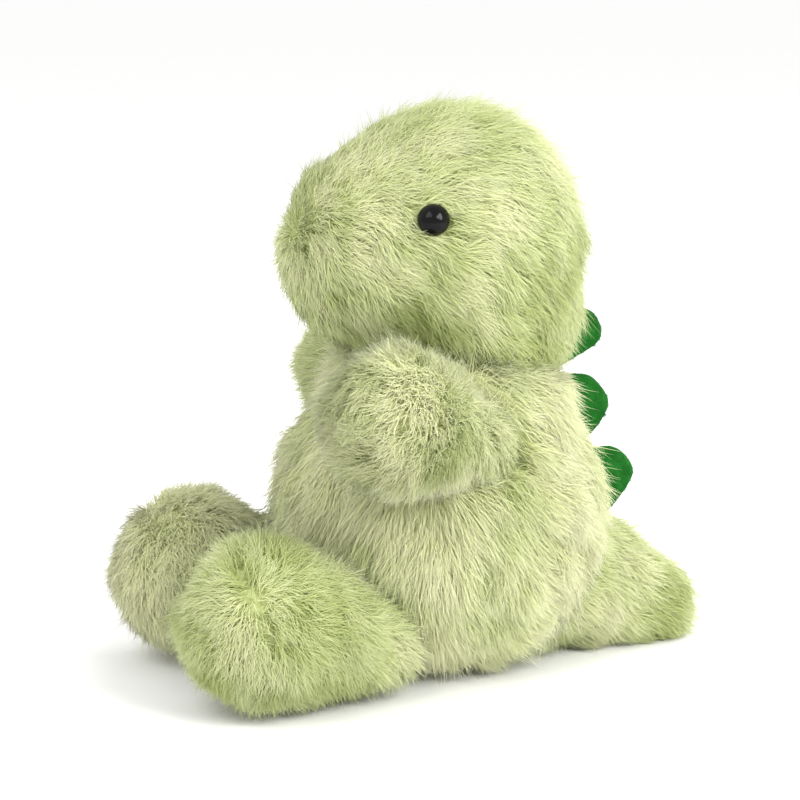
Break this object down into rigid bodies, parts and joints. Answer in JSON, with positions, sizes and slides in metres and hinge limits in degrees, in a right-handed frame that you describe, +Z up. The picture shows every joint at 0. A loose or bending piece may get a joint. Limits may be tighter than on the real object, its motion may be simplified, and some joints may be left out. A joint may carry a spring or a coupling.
{
  "type": "stuffed dinosaur",
  "caption": "Seated plush dinosaur with a round head, stub arms, thick legs and tail in long pale green pile, black button eyes and felt back spikes.",
  "frame": {"origin": "on the floor under the flat seat, in the toy's middle plane", "axes": "+Z up, the toy faces -Y, its own left side is +X"},
  "size_m": [0.1772, 0.1943, 0.183],
  "materials": {
    "fur_pale_green": "long soft pile fabric, pale green with lighter tips",
    "polyester_stuffing": "loose white polyester fibre",
    "felt_green": "stiffened dark green felt",
    "eye_black": "polished black plastic",
    "washer_white": "plain white plastic",
    "pouch_cloth": "thin unbleached cotton",
    "pellet_plastic": "rounded white plastic beads",
    "thread_green": "twisted polyester thread"
  },
  "bodies": {
    "torso": {"body_cover": "fur_pale_green", "body_filling": "polyester_stuffing", "pellet_pouch": "pouch_cloth", "pellets": "pellet_plastic", "neck_thread": "thread_green", "left_shoulder_thread": "thread_green", "left_hip_thread": "thread_green", "right_shoulder_thread": "thread_green", "right_hip_thread": "thread_green", "tail_thread": "thread_green"},
    "neck": {"neck_filling": "polyester_stuffing"},
    "head": {"head_cover": "fur_pale_green", "head_filling": "polyester_stuffing", "left_eye": "eye_black", "right_eye": "eye_black", "left_eye_washer": "washer_white", "right_eye_washer": "washer_white"},
    "left_arm": {"left_arm_cover": "fur_pale_green", "left_arm_filling": "polyester_stuffing"},
    "right_arm": {"right_arm_cover": "fur_pale_green", "right_arm_filling": "polyester_stuffing"},
    "left_leg": {"left_leg_cover": "fur_pale_green", "left_leg_filling": "polyester_stuffing"},
    "right_leg": {"right_leg_cover": "fur_pale_green", "right_leg_filling": "polyester_stuffing"},
    "tail": {"tail_cover": "fur_pale_green", "tail_filling": "polyester_stuffing"},
    "nape_spike": {"nape_spike": "felt_green"},
    "upper_back_spike": {"upper_back_spike": "felt_green"},
    "lower_back_spike": {"lower_back_spike": "felt_green"}
  },
  "joints": [
    {"name": "neck_turn", "type": "hinge", "parent": "torso", "child": "neck", "pos_m": [0, 0.003, 0.119], "axis": [0, 0, -1], "range_deg": [-25, 25], "stiffness_Nm_per_rad": 0.3},
    {"name": "neck_nod", "type": "hinge", "parent": "neck", "child": "head", "pos_m": [0, 0.003, 0.119], "axis": [-1, 0, 0], "range_deg": [-12, 5], "stiffness_Nm_per_rad": 0.3},
    {"name": "left_shoulder", "type": "hinge", "parent": "torso", "child": "left_arm", "pos_m": [0.036, -0.01, 0.078], "axis": [-0.8616, -0.5075, 0], "range_deg": [-12, 20], "stiffness_Nm_per_rad": 0.15},
    {"name": "right_shoulder", "type": "hinge", "parent": "torso", "child": "right_arm", "pos_m": [-0.036, -0.01, 0.078], "axis": [0.1736, 0.9848, 0], "range_deg": [-12, 20], "stiffness_Nm_per_rad": 0.15},
    {"name": "left_hip", "type": "hinge", "parent": "torso", "child": "left_leg", "pos_m": [0.033, -0.0467, 0.0227], "axis": [-1, 0, 0], "range_deg": [-8, 16], "stiffness_Nm_per_rad": 0.3},
    {"name": "right_hip", "type": "hinge", "parent": "torso", "child": "right_leg", "pos_m": [-0.033, -0.0467, 0.0227], "axis": [-1, 0, 0], "range_deg": [-8, 16], "stiffness_Nm_per_rad": 0.3},
    {"name": "tail_wag", "type": "hinge", "parent": "torso", "child": "tail", "pos_m": [0, 0.031, 0.027], "axis": [0, 0, 1], "range_deg": [-20, 20], "stiffness_Nm_per_rad": 0.3},
    {"name": "nape_flop", "type": "hinge", "parent": "head", "child": "nape_spike", "pos_m": [0, 0.03795, 0.11717], "axis": [0, 0.2756, 0.9613], "range_deg": [-25, 25], "stiffness_Nm_per_rad": 0.004},
    {"name": "upper_back_flop", "type": "hinge", "parent": "torso", "child": "upper_back_spike", "pos_m": [0, 0.0336, 0.09], "axis": [0, -0.2922, 0.9564], "range_deg": [-25, 25], "stiffness_Nm_per_rad": 0.004},
    {"name": "lower_back_flop", "type": "hinge", "parent": "torso", "child": "lower_back_spike", "pos_m": [0, 0.042, 0.0656], "axis": [0, -0.1356, 0.9908], "range_deg": [-25, 25], "stiffness_Nm_per_rad": 0.004}
  ]
}
